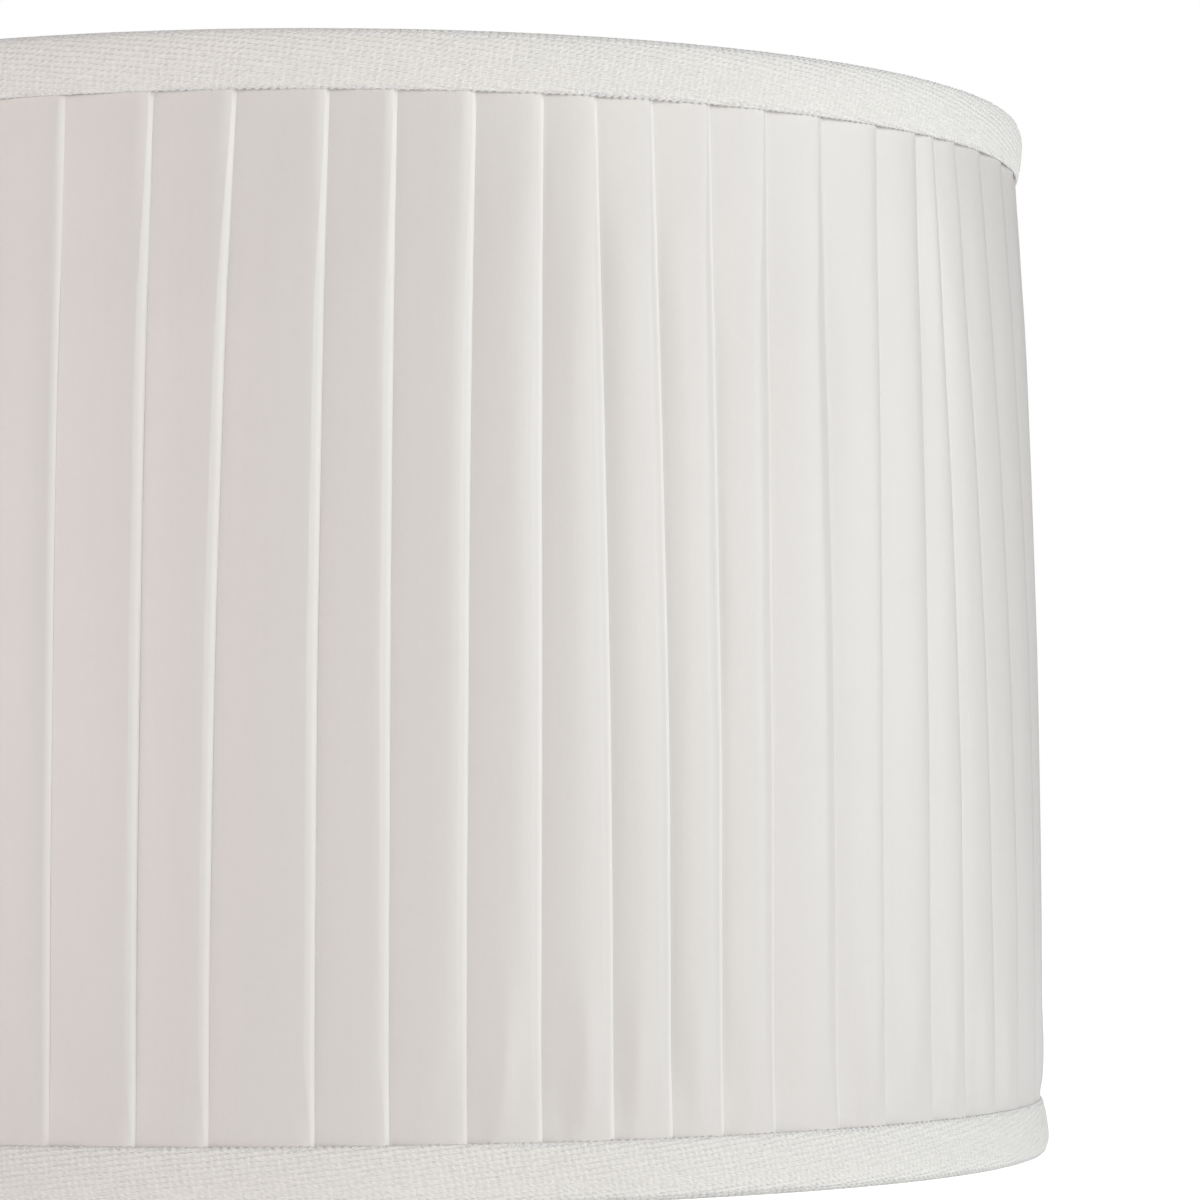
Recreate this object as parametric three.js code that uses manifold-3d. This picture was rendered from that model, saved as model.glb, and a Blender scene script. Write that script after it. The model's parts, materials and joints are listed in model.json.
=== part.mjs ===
// A knife-pleated silk drum shade on a strutted wire frame, with a soft lining, woven
// herringbone tape bound over both rims, and a tilting strap gimbal that carries the lamp.
//
// Millimetres, +Z up. The origin is the centre of the bottom rim, on the surface the shade
// stands on. The gimbal tilts about a line parallel to X, and the front of the shade is -Y.
//
// Reading a wall from the outside in: tape, pleated cover, wire frame, lining, tape.

import * as THREE from "three";
import { mergeVertices } from "three/addons/utils/BufferGeometryUtils.js";
import Module from "manifold-3d";

const wasm = await Module();
wasm.setup();

// ---------------------------------------------------------------- driving dimensions

const HEIGHT = 212; // rim to rim, over the tapes
const FOOT_RADIUS = 147; // outside of the pleated cover, at the bottom rim
const HEAD_RADIUS = 143.5; // the same, at the top rim
const BOW = 2; // how far the side swells beyond a straight line
const GAP = 0.3; // left between pieces that touch
const AROUND = 64; // facets round the shade
const RING_FACETS = 48; // round the carrier and the reducer
const PIN_FACETS = 24;
const WIRE_FACETS = 10;
const THROUGH = 10; // length of a cutter that passes through a thin wall
const BOW_SPANS = 6; // straight spans that stand for the bowed side

const COVER_WALL = 1.4; // three layers of silk where the pleats lap
const LINING_WALL = 0.8;
const RIM_CLEAR = 2; // from a rim to the edges of the cloth under its tape
const NEATENER_WIDTH = 15;
const NEATENER_REACH = 9; // below the slit that it finishes
const NEATENER_CLEAR = 0.6; // from the lining, which bows behind it
const RING_WIRE = 3; // diameters
const STRUT_WIRE = 2.5;
const STRUTS = 8;

const TAPE_BAND = 11.2; // how far each tape reaches from the rim, inside and out
const TAPE_WALL = 1.5;
const TAPE_EDGE = 0.6; // thickness at the selvedge
const TAPE_TURN = 0.9; // how far the fold draws in at the very rim
const FULLEST = 0.45; // where the tape stands proudest, as a share of its band

const STRIP_WIDTH = 9; // steel strip of the hangers and the gimbal
const STRIP_WALL = 1.5;
const PIVOT_DROP = 28; // tilt axis below the top rim
const HANGER_DROP = 16; // where a hanger turns in through the lining, below the top rim
const SLIT_CLEAR = 0.6; // on each side of a hanger, where it passes through cloth
const HANGER_REACH = 129.3; // tilt axis to the middle of a hanger's lower leg, along X
const RIVET_SHANK = 3.4; // diameters
const RIVET_HOLE = 4;
const RIVET_HEAD = 7;
const HEAD_WALL = 1.3;
const WASHER_WALL = 1;
const WASHER_SIZE = 8.4;

const EAR_DROP = 9; // tilt axis down to the level arm
const CARRIER_DROP = 20.5; // tilt axis down to the underside of the carrier ring
const CARRIER_OUTER = 60; // diameters
const CARRIER_BORE = 42;
const CARRIER_WALL = 1.5;
const ARM_BEND_OUT = 58; // where the arm starts down towards the ring, and where it ends
const ARM_BEND_IN = 44;
const ARM_END = 25.2;
const ARM_MITRE = 0.4; // how far the upper bend lines lie in from the lower ones

const REDUCER_FLANGE = 48; // diameters
const REDUCER_SPIGOT = 41;
const REDUCER_BORE = 29;
const REDUCER_WALL = 1.5;
const REDUCER_DEPTH = 3.3; // spigot below the flange

// ---------------------------------------------------------------- the bowed wall

// Outside radius of the pleated cover at a height above the bottom rim.
function coverRadius(z) {
  const u = z / HEIGHT;
  return FOOT_RADIUS + (HEAD_RADIUS - FOOT_RADIUS) * u + 4 * BOW * u * (1 - u);
}

// Each layer's place, as a distance in from the outside of the cover.
const RING_DEPTH = COVER_WALL + GAP + RING_WIRE / 2;
const LINING_DEPTH = RING_DEPTH + RING_WIRE / 2 + GAP;
const LINING_FACE = LINING_DEPTH + LINING_WALL;

const RING_HEIGHT = RIM_CLEAR + RING_WIRE / 2; // ring centre from its rim
const PIVOT_HEIGHT = HEIGHT - PIVOT_DROP;
const CARRIER_HEIGHT = PIVOT_HEIGHT - CARRIER_DROP;
const CARRIER_TOP = CARRIER_HEIGHT + CARRIER_WALL;
const REDUCER_HEIGHT = CARRIER_TOP + GAP;

// ---------------------------------------------------------------- materials

function material(color, roughness, metalness = 0) {
  return new THREE.MeshStandardMaterial({ color, roughness, metalness });
}

const SILK = material(0xe6e2dd, 0.55);
const LINING_CLOTH = material(0xefeeea, 0.8);
const TAPE = material(0xe4e0da, 0.9);
const PAINTED_WIRE = material(0xe9e9e6, 0.45, 0.1);
const ZINC = material(0xc9cacb, 0.35, 0.9);
const NYLON = material(0xf0efe9, 0.5);

// ---------------------------------------------------------------- solids

// A closed three.js geometry as a manifold-3d solid.
function solid(geometry) {
  const bare = geometry.index ? geometry.toNonIndexed() : geometry.clone();
  bare.deleteAttribute("normal");
  bare.deleteAttribute("uv");
  const merged = mergeVertices(bare, 1e-3);
  return new wasm.Manifold(
    new wasm.Mesh({
      numProp: 3,
      vertProperties: merged.attributes.position.array,
      triVerts: new Uint32Array(merged.index.array),
    }),
  );
}

// A manifold-3d solid as a three.js geometry.
function geometryOf(made) {
  const { vertProperties, triVerts } = made.getMesh();
  const geometry = new THREE.BufferGeometry();
  geometry.setAttribute("position", new THREE.BufferAttribute(vertProperties, 3));
  geometry.setIndex(new THREE.BufferAttribute(triVerts, 1));
  geometry.computeVertexNormals();
  return geometry;
}

// A closed outline of [radius, height] pairs turned about Z.
function turned(outline, segments = AROUND) {
  const points = [...outline, outline[0]].map(([r, z]) => new THREE.Vector2(r, z));
  return new THREE.LatheGeometry(points, segments).rotateX(Math.PI / 2);
}

// An outline of [x, z] pairs with a width along Y, centred on Y = 0.
function strip(outline, width = STRIP_WIDTH) {
  const shape = new THREE.Shape(outline.map(([x, z]) => new THREE.Vector2(x, z)));
  const options = { depth: width, bevelEnabled: false };
  return new THREE.ExtrudeGeometry(shape, options)
    .rotateX(Math.PI / 2)
    .translate(0, width / 2, 0);
}

// A disc or pin along X from x0 to x1, centred on the tilt axis.
function disc(diameter, x0, x1, segments = PIN_FACETS) {
  return new THREE.CylinderGeometry(diameter / 2, diameter / 2, x1 - x0, segments)
    .rotateZ(Math.PI / 2)
    .translate((x0 + x1) / 2, 0, PIVOT_HEIGHT);
}

function box(x, y, z, at) {
  return new THREE.BoxGeometry(x, y, z).translate(...at);
}

// A cutter for the slit that a hanger passes through, `length` long through the wall.
function slit(length, x) {
  const width = STRIP_WIDTH + 2 * SLIT_CLEAR;
  const tall = STRIP_WALL + 2 * SLIT_CLEAR;
  return solid(box(length, width, tall, [x, 0, HEIGHT - HANGER_DROP]));
}

const shade = new THREE.Group();

function add(name, geometry, finish, turnZ = 0) {
  const mesh = new THREE.Mesh(geometry, finish);
  mesh.name = name;
  mesh.rotation.z = turnZ;
  shade.add(mesh);
}

// Both ends of the tilt axis are alike: the +X one, and the same turned half round.
const SIDES = [
  ["right", 0],
  ["left", Math.PI],
];

// ---------------------------------------------------------------- cloth walls

// A bowed wall, from depth `outer` to depth `inner` inside the cover's outside.
function clothWall(outer, inner) {
  const low = RIM_CLEAR;
  const high = HEIGHT - RIM_CLEAR;
  const heights = [];
  for (let i = 0; i <= BOW_SPANS; i++) {
    heights.push(low + ((high - low) * i) / BOW_SPANS);
  }
  const out = heights.map((z) => [coverRadius(z) - outer, z]);
  const back = heights.map((z) => [coverRadius(z) - inner, z]).reverse();
  return turned([...out, ...back]);
}

function pleatedCover() {
  return clothWall(0, COVER_WALL);
}

// The lining has a slit at each hanger, cut right across the shade.
function lining() {
  const wall = solid(clothWall(LINING_DEPTH, LINING_FACE));
  return geometryOf(wall.subtract(slit(2 * FOOT_RADIUS, 0)));
}

// A tape bound over a rim, as an outline. `at` turns a distance from the rim into a height.
function boundTape(at) {
  const outside = (rise, proud) => [coverRadius(at(rise)) + proud, at(rise)];
  const inside = (rise, proud) => [coverRadius(at(rise)) - LINING_FACE - proud, at(rise)];
  const swell = FULLEST * TAPE_BAND;
  const shoulder = (1 - FULLEST / 2) * TAPE_BAND;
  const corner = (FULLEST / 3) * TAPE_BAND;
  const edge = GAP + TAPE_EDGE;
  return [
    outside(TAPE_BAND, GAP),
    outside(TAPE_BAND, edge),
    outside(shoulder, GAP + 0.9 * TAPE_WALL),
    outside(swell, GAP + TAPE_WALL),
    outside(corner, GAP + 0.7 * TAPE_WALL),
    outside(0, -TAPE_TURN),
    inside(0, -TAPE_TURN),
    inside(corner, GAP + 0.5 * TAPE_WALL),
    inside(swell, GAP + 0.8 * TAPE_WALL),
    inside(TAPE_BAND, edge),
    inside(TAPE_BAND, GAP),
    inside(TAPE_WALL, GAP),
    outside(TAPE_WALL, GAP),
  ];
}

function bottomTape() {
  return turned(boundTape((rise) => rise).reverse());
}

function topTape() {
  return turned(boundTape((rise) => HEIGHT - rise));
}

// A patch of lining cloth round each hanger, caught under the tape's inner edge.
function neatener() {
  const top = HEIGHT - TAPE_BAND - GAP;
  const bottom = HEIGHT - HANGER_DROP - NEATENER_REACH;
  const face = coverRadius(top) - LINING_FACE - NEATENER_CLEAR;
  const middle = [face - LINING_WALL / 2, 0, (top + bottom) / 2];
  const patch = box(LINING_WALL, NEATENER_WIDTH, top - bottom, middle);
  return geometryOf(solid(patch).subtract(slit(THROUGH, face)));
}

// ---------------------------------------------------------------- wire frame

function ring(height) {
  const radius = coverRadius(height) - RING_DEPTH;
  const wire = new THREE.TorusGeometry(radius, RING_WIRE / 2, WIRE_FACETS, AROUND);
  return wire.translate(0, 0, height);
}

// One bowed strut in the XZ plane, butted between the two rings.
function strut() {
  const low = RING_HEIGHT + RING_WIRE / 2 + GAP;
  const high = HEIGHT - low;
  const points = [];
  for (let i = 0; i <= BOW_SPANS; i++) {
    const z = low + ((high - low) * i) / BOW_SPANS;
    points.push(new THREE.Vector3(coverRadius(z) - RING_DEPTH, 0, z));
  }
  const section = new THREE.Shape();
  section.absarc(0, 0, STRUT_WIRE / 2, 0, 2 * Math.PI);
  return new THREE.ExtrudeGeometry(section, {
    extrudePath: new THREE.CatmullRomCurve3(points),
    steps: 2 * BOW_SPANS,
    curveSegments: WIRE_FACETS,
    bevelEnabled: false,
  });
}

// ---------------------------------------------------------------- gimbal

// A strip bent square: down inside the wall, in through the lining, down to the pivot.
function hanger() {
  const half = STRIP_WALL / 2;
  const top = HEIGHT - RING_HEIGHT - RING_WIRE / 2 - GAP;
  const turn = HEIGHT - HANGER_DROP;
  const wall = coverRadius(turn) - RING_DEPTH;
  const leg = HANGER_REACH;
  const bent = strip([
    [wall - half, top],
    [wall - half, turn + half],
    [leg - half, turn + half],
    [leg - half, PIVOT_HEIGHT],
    [leg + half, PIVOT_HEIGHT],
    [leg + half, turn - half],
    [wall + half, turn - half],
    [wall + half, top],
  ]);
  const eye = disc(STRIP_WIDTH, leg - half, leg + half);
  const hole = disc(RIVET_HOLE, leg - THROUGH / 2, leg + THROUGH / 2);
  return geometryOf(solid(bent).add(solid(eye)).subtract(solid(hole)));
}

const HANGER_FACE = HANGER_REACH - STRIP_WALL / 2;
const WASHER_OUT = HANGER_FACE - GAP;
const WASHER_IN = WASHER_OUT - WASHER_WALL;
const EAR_OUT = WASHER_IN - GAP;
const EAR_IN = EAR_OUT - STRIP_WALL;

function washer() {
  const ring = solid(disc(WASHER_SIZE, WASHER_IN, WASHER_OUT));
  const hole = solid(disc(RIVET_HOLE, WASHER_IN - GAP, WASHER_OUT + GAP));
  return geometryOf(ring.subtract(hole));
}

function rivet() {
  const innerHead = EAR_IN - GAP;
  const outerHead = HANGER_REACH + STRIP_WALL / 2 + GAP;
  const inner = disc(RIVET_HEAD, innerHead - HEAD_WALL, innerHead);
  const outer = disc(RIVET_HEAD, outerHead, outerHead + HEAD_WALL);
  const sunk = HEAD_WALL / 2;
  const shank = disc(RIVET_SHANK, innerHead - sunk, outerHead + sunk);
  return geometryOf(solid(inner).add(solid(outer)).add(solid(shank)));
}

// An ear at the pivot, a level run, and a step down on to the carrier ring.
function gimbalArm() {
  const level = PIVOT_HEIGHT - EAR_DROP;
  const seat = CARRIER_TOP + GAP;
  const wall = STRIP_WALL;
  const bent = strip([
    [EAR_OUT, PIVOT_HEIGHT],
    [EAR_OUT, level],
    [ARM_BEND_OUT, level],
    [ARM_BEND_IN, seat],
    [ARM_END, seat],
    [ARM_END, seat + wall],
    [ARM_BEND_IN - ARM_MITRE, seat + wall],
    [ARM_BEND_OUT - ARM_MITRE, level + wall],
    [EAR_IN, level + wall],
    [EAR_IN, PIVOT_HEIGHT],
  ]);
  const eye = disc(STRIP_WIDTH, EAR_IN, EAR_OUT);
  const hole = disc(RIVET_HOLE, EAR_IN - THROUGH / 2, EAR_OUT + THROUGH / 2);
  return geometryOf(solid(bent).add(solid(eye)).subtract(solid(hole)));
}

function carrierRing() {
  const low = CARRIER_HEIGHT;
  return turned(
    [
      [CARRIER_BORE / 2, low],
      [CARRIER_OUTER / 2, low],
      [CARRIER_OUTER / 2, CARRIER_TOP],
      [CARRIER_BORE / 2, CARRIER_TOP],
    ],
    RING_FACETS,
  );
}

function reducerRing() {
  const flange = REDUCER_HEIGHT;
  return turned(
    [
      [REDUCER_BORE / 2, flange - REDUCER_DEPTH],
      [REDUCER_SPIGOT / 2, flange - REDUCER_DEPTH],
      [REDUCER_SPIGOT / 2, flange],
      [REDUCER_FLANGE / 2, flange],
      [REDUCER_FLANGE / 2, flange + REDUCER_WALL],
      [REDUCER_BORE / 2, flange + REDUCER_WALL],
    ],
    RING_FACETS,
  );
}

// ---------------------------------------------------------------- assembly

add("pleated_cover", pleatedCover(), SILK);
add("lining", lining(), LINING_CLOTH);
add("top_tape", topTape(), TAPE);
add("bottom_tape", bottomTape(), TAPE);
add("top_ring", ring(HEIGHT - RING_HEIGHT), PAINTED_WIRE);
add("bottom_ring", ring(RING_HEIGHT), PAINTED_WIRE);
for (let i = 0; i < STRUTS; i++) {
  add(`strut_${i + 1}`, strut(), PAINTED_WIRE, ((i + 0.5) * 2 * Math.PI) / STRUTS);
}
for (const [side, turn] of SIDES) {
  add(`hanger_${side}`, hanger(), ZINC, turn);
  add(`neatener_${side}`, neatener(), LINING_CLOTH, turn);
  add(`pivot_rivet_${side}`, rivet(), ZINC, turn);
  add(`pivot_washer_${side}`, washer(), NYLON, turn);
  add(`gimbal_arm_${side}`, gimbalArm(), ZINC, turn);
}
add("carrier_ring", carrierRing(), ZINC);
add("reducer_ring", reducerRing(), NYLON);

export default shade;
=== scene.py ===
"""A knife-pleated silk drum shade, 30 cm across, with herringbone tape bound over its rims.

The silk is pleated by a geometry tree, to marks set out round the shade as a maker would
chalk them. The tapes, the lining, the gimbal and its rings are built round the CAD frame.
Metres, +Z up. The front of the shade is -Y, and angles round it run from there towards +X.
"""

import json
import math
import random

import bmesh
import bpy
from mathutils import Matrix, Vector, noise
from mathutils.bvhtree import BVHTree


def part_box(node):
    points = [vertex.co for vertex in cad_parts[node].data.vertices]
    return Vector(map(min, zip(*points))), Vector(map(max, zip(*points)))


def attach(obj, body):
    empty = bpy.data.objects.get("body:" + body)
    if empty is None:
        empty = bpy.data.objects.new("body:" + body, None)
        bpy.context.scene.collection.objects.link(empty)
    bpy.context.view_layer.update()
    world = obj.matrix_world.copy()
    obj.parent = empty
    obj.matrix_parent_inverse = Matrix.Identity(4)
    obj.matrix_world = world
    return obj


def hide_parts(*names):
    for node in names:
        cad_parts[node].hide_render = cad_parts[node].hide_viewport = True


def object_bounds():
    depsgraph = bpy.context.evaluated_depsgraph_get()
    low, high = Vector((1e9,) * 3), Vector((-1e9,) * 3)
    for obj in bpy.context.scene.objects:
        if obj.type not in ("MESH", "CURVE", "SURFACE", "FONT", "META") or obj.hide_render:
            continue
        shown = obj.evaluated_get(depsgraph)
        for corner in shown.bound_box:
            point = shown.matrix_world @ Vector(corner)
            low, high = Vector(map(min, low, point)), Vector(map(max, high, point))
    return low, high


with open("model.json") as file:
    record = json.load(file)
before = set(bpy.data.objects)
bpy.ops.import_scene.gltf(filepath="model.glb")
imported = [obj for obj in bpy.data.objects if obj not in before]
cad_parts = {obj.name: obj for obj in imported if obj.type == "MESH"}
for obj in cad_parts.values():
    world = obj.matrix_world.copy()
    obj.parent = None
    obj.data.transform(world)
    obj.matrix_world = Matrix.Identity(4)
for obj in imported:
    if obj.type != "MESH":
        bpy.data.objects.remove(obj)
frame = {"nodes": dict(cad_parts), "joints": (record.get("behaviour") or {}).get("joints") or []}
cad_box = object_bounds()

MM = 0.001
TURN = 2 * math.pi

# -------- sizes from the frame

HEIGHT = cad_box[1][2]
FOOT_RADIUS = 147 * MM  # outside of the cover at the bottom rim
HEAD_RADIUS = 143.5 * MM
BOW = 2 * MM
LINING_DEPTH = 5 * MM  # from the outside of the cover to the lining
LINING_FOOT = FOOT_RADIUS - LINING_DEPTH
STRUTS = 8
TAPE_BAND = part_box("bottom_tape")[1].z
RIM_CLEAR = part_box("pleated_cover")[0].z  # from a rim to the edge of the cloth under the tape
LINING_WALL = 0.35 * MM
SEAM_PITCH = 2.9 * MM
SLIT_HEIGHT = HEIGHT - 16 * MM  # where the hangers pass through the lining
SLIT = Vector((10.2, 2.7)) * MM
PIVOT_HEIGHT = frame["joints"][0]["pos_m"][2]


def bowed_radius(foot, head, bow, up):
    """Radius of a bowed wall at a share of the way up. Works on numbers and on terms."""
    return foot + (head - foot) * up + 4.0 * bow * up * (1.0 - up)


def cover_radius(z):
    """Outside radius of the cover at a height."""
    return bowed_radius(FOOT_RADIUS, HEAD_RADIUS, BOW, z / HEIGHT)


def around(angle, radius, z):
    """The point at an angle from the front, a radius and a height."""
    return Vector((radius * math.sin(angle), -radius * math.cos(angle), z))


# -------- writing node trees


class Term:
    """An output in a node tree, which sums can be written with."""

    def __init__(self, wiring, socket):
        self.wiring = wiring
        self.socket = socket


def write_sums(sign, operation):
    """Lets a sign stand between terms and numbers, either way round."""
    setattr(Term, f"__{sign}__", lambda a, b: a.wiring.math(operation, a, b))
    setattr(Term, f"__r{sign}__", lambda a, b: a.wiring.math(operation, b, a))


write_sums("add", "ADD")
write_sums("sub", "SUBTRACT")
write_sums("mul", "MULTIPLY")
write_sums("truediv", "DIVIDE")


class Wiring:
    """Adds nodes to a tree and joins them up."""

    def __init__(self, tree):
        self.tree = tree

    def feed(self, socket, value):
        if isinstance(value, Term):
            self.tree.links.new(value.socket, socket)
        else:
            socket.default_value = value

    def node(self, kind, inputs=None, **settings):
        made = self.tree.nodes.new(kind)
        for name, value in settings.items():
            setattr(made, name, value)
        for key, value in (inputs or {}).items():
            self.feed(made.inputs[key], value)
        return made

    def out(self, kind, inputs=None, output=0, **settings):
        return Term(self, self.node(kind, inputs, **settings).outputs[output])

    def math(self, operation, *values):
        return self.out("ShaderNodeMath", dict(enumerate(values)), operation=operation)

    def xyz(self, x, y, z):
        return self.out("ShaderNodeCombineXYZ", {"X": x, "Y": y, "Z": z})

    def split(self, vector):
        made = self.node("ShaderNodeSeparateXYZ", {"Vector": vector})
        return [Term(self, made.outputs[axis]) for axis in "XYZ"]

    def ramp(self, value, start, end, low=0.0, high=1.0):
        """Low before start, high after end, and a smooth rise between."""
        inputs = {"Value": value, "From Min": start, "From Max": end}
        inputs.update({"To Min": low, "To Max": high})
        return self.out("ShaderNodeMapRange", inputs, interpolation_type="SMOOTHSTEP")

    def bell(self, offset):
        """One at no offset, and falling away smoothly on both sides."""
        return self.math("EXPONENT", offset * offset * -1.0)

    def noise(self, vector, per_metre, detail=2.0):
        """Noise about zero, between -1 and 1."""
        inputs = {"Vector": vector, "Scale": per_metre, "Detail": detail}
        return (self.out("ShaderNodeTexNoise", inputs) - 0.5) * 2.0

    def streaks(self, x, y, z, per_metre, per_metre_up, detail=1.0):
        """Noise about zero that is drawn out or squeezed along Z."""
        place = self.xyz(x * per_metre, y * per_metre, z * per_metre_up)
        return self.noise(place, 1.0, detail)

    def drawn(self, value, heights):
        """A curve through evenly spaced heights, read at a value from 0 to 1."""
        made = self.node("ShaderNodeFloatCurve", {"Value": value})
        points = made.mapping.curves[0].points
        last = len(heights) - 1
        points[0].location = (0.0, heights[0])
        points[1].location = (1.0, heights[last])
        for i in range(1, last):
            points.new(i / last, heights[i])
        for point in points:
            point.handle_type = "VECTOR"
        made.mapping.update()
        return Term(self, made.outputs["Value"])


class GeometryTree(Wiring):
    """A geometry node tree with named inputs, which becomes a plain mesh when it is run."""

    SOCKETS = {
        "Float": "NodeSocketFloat",
        "Int": "NodeSocketInt",
        "Material": "NodeSocketMaterial",
    }

    def __init__(self, name):
        super().__init__(bpy.data.node_groups.new(name, "GeometryNodeTree"))
        self.tree.is_modifier = True
        for way in ("INPUT", "OUTPUT"):
            self.tree.interface.new_socket(
                "Geometry", in_out=way, socket_type="NodeSocketGeometry"
            )
        self.entry = self.tree.nodes.new("NodeGroupInput")
        self.exit = self.tree.nodes.new("NodeGroupOutput")
        self.identifiers = {}
        self.kept = {}
        self.finish = self.input("Material", "Material")

    def input(self, name, kind="Float"):
        name = name.replace("_", " ")
        made = self.tree.interface.new_socket(name, in_out="INPUT", socket_type=self.SOCKETS[kind])
        self.identifiers[name] = made.identifier
        return Term(self, self.entry.outputs[name])

    def sizes(self, **values):
        """An input for each size, which also keeps the size to run the tree with."""
        self.kept.update(values)
        return [self.input(name) for name in values]

    def given(self):
        """The geometry of the object that the tree is run on."""
        return Term(self, self.entry.outputs["Geometry"])

    def around(self, angle, radius, z):
        """The point at an angle from the front, a radius and a height."""
        x = self.math("SINE", angle) * radius
        return self.xyz(x, self.math("COSINE", angle) * radius * -1.0, z)

    def flat_grid(self, columns, rows):
        """A flat grid, and each point's share of the way across and up it."""
        size = {"Size X": 1.0, "Size Y": 1.0, "Vertices X": columns, "Vertices Y": rows}
        grid = self.out("GeometryNodeMeshGrid", size)
        x, y, _ = self.split(self.out("GeometryNodeInputPosition"))
        return grid, x + 0.5, y + 0.5

    def put(self, geometry, place):
        return self.out("GeometryNodeSetPosition", {"Geometry": geometry, "Position": place})

    def store(self, geometry, name, value, kind="FLOAT", domain="POINT"):
        inputs = {"Geometry": geometry, "Name": name, "Value": value}
        return self.out("GeometryNodeStoreNamedAttribute", inputs, data_type=kind, domain=domain)

    def on_points(self, points, piece, turn, **more):
        inputs = {"Points": points, "Instance": piece, "Rotation": turn, **more}
        return self.out("GeometryNodeInstanceOnPoints", inputs)

    def round_axis(self, piece, count, first=0.0):
        """A piece repeated evenly round Z, the first one a share of a step on."""
        spots = self.out("GeometryNodeMeshLine", {"Count": count, "Offset": Vector((0, 0, 0))})
        turn = (self.out("GeometryNodeInputIndex") + first) * TURN / count
        return self.on_points(spots, piece, self.xyz(0.0, 0.0, turn))

    def yarn(self):
        """A bead that is drawn out into a short length of yarn where it is used."""
        return self.out("GeometryNodeMeshUVSphere", {"Segments": 6, "Rings": 5, "Radius": 0.5})

    def close_cloth(self, sheet, place, cloth):
        """Ends the tree with a sheet put in place and joined up, its flat cloth kept on it."""
        kept = self.store(sheet, "cloth", cloth, "FLOAT2", "CORNER")
        inputs = {"Geometry": self.put(kept, place), "Distance": 0.005 * MM}
        self.close(self.out("GeometryNodeMergeByDistance", inputs))

    def close(self, geometry):
        """Ends the tree: instances made real, and the material put on."""
        real = self.out("GeometryNodeRealizeInstances", {"Geometry": geometry})
        smooth = self.out("GeometryNodeSetShadeSmooth", {"Geometry": real})
        done = self.out("GeometryNodeSetMaterial", {"Geometry": smooth, "Material": self.finish})
        self.tree.links.new(done.socket, self.exit.inputs[0])

    def run(self, obj, **values):
        """Runs the tree on an object and leaves the result as its plain mesh."""
        modifier = obj.modifiers.new(self.tree.name, "NODES")
        modifier.node_group = self.tree
        for name, value in {**self.kept, **values}.items():
            modifier[self.identifiers[name.replace("_", " ")]] = value
        return settle(obj)


def settle(obj):
    """Turns an object's modifiers into its own plain mesh."""
    bpy.context.view_layer.update()
    graph = bpy.context.evaluated_depsgraph_get()
    done = bpy.data.meshes.new_from_object(
        obj.evaluated_get(graph), preserve_all_data_layers=True, depsgraph=graph
    )
    obj.modifiers.clear()
    obj.data = done
    return obj


def new_object(name, data):
    obj = bpy.data.objects.new(name, data)
    bpy.context.scene.collection.objects.link(obj)
    return obj


def empty(name):
    """An object with nothing in it yet, for a tree to fill."""
    return new_object(name, bpy.data.meshes.new(name))


def built(build, name, material=None):
    """A bmesh as an object of its own."""
    obj = empty(name)
    build.to_mesh(obj.data)
    build.free()
    if material:
        obj.data.materials.append(material)
    return obj


def shaped(obj, kind, **settings):
    """Puts a modifier on an object and settles it into the mesh."""
    made = obj.modifiers.new(kind.lower(), kind)
    for name, value in settings.items():
        setattr(made, name, value)
    return settle(obj)


def thicken(sheet, thickness):
    """Gives a sheet its thickness, behind the sheet."""
    return shaped(sheet, "SOLIDIFY", thickness=thickness, offset=-1.0)


def cut_slit(cloth, x, reach):
    """Cuts the slit for a hanger through a cloth that stands at x."""
    low = (x - reach, -SLIT.x / 2, SLIT_HEIGHT - SLIT.y / 2)
    high = (x + reach, SLIT.x / 2, SLIT_HEIGHT + SLIT.y / 2)
    build = bmesh.new()
    bmesh.ops.create_cube(build, size=1.0)
    for vert in build.verts:
        share = vert.co + Vector((0.5, 0.5, 0.5))
        vert.co = Vector(a + (b - a) * c for a, b, c in zip(low, high, share))
    cutter = built(build, "cutter")
    shaped(cloth, "BOOLEAN", operation="DIFFERENCE", solver="EXACT", object=cutter)
    bpy.data.objects.remove(cutter)


def rounded(points):
    """Cuts off each corner at a quarter of its sides, and keeps both ends."""
    eased = [points[0]]
    for a, b in zip(points, points[1:]):
        eased.append(tuple(0.75 * p + 0.25 * q for p, q in zip(a, b)))
        eased.append(tuple(0.25 * p + 0.75 * q for p, q in zip(a, b)))
    return eased + [points[-1]]


def laid_sheet(name, lines, flat, facing, wall, material):
    """A sheet of cloth through lines of points, with its thickness behind it.

    flat turns a line's number and a point's number into a place on the flat cloth, and
    facing is the way that the first corner of the sheet looks.
    """
    build = bmesh.new()
    cloth = build.loops.layers.uv.new("cloth")
    verts = [[build.verts.new(point) for point in line] for line in lines]
    for i in range(len(lines) - 1):
        for j in range(len(lines[0]) - 1):
            corners = [(i, j), (i + 1, j), (i + 1, j + 1), (i, j + 1)]
            face = build.faces.new([verts[line][point] for line, point in corners])
            face.smooth = True
            for loop, corner in zip(face.loops, corners):
                loop[cloth].uv = flat(*corner)
    build.normal_update()
    build.faces.ensure_lookup_table()
    if build.faces[0].normal.dot(facing) < 0:
        bmesh.ops.reverse_faces(build, faces=build.faces)
    return thicken(built(build, name, material), wall)


def finish_mesh(build, name):
    """A bmesh with its doubles merged and its faces turned outwards, as a smooth object."""
    bmesh.ops.remove_doubles(build, verts=build.verts, dist=0.002 * MM)
    bmesh.ops.recalc_face_normals(build, faces=build.faces)
    for face in build.faces:
        face.smooth = True
    return built(build, name)


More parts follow.
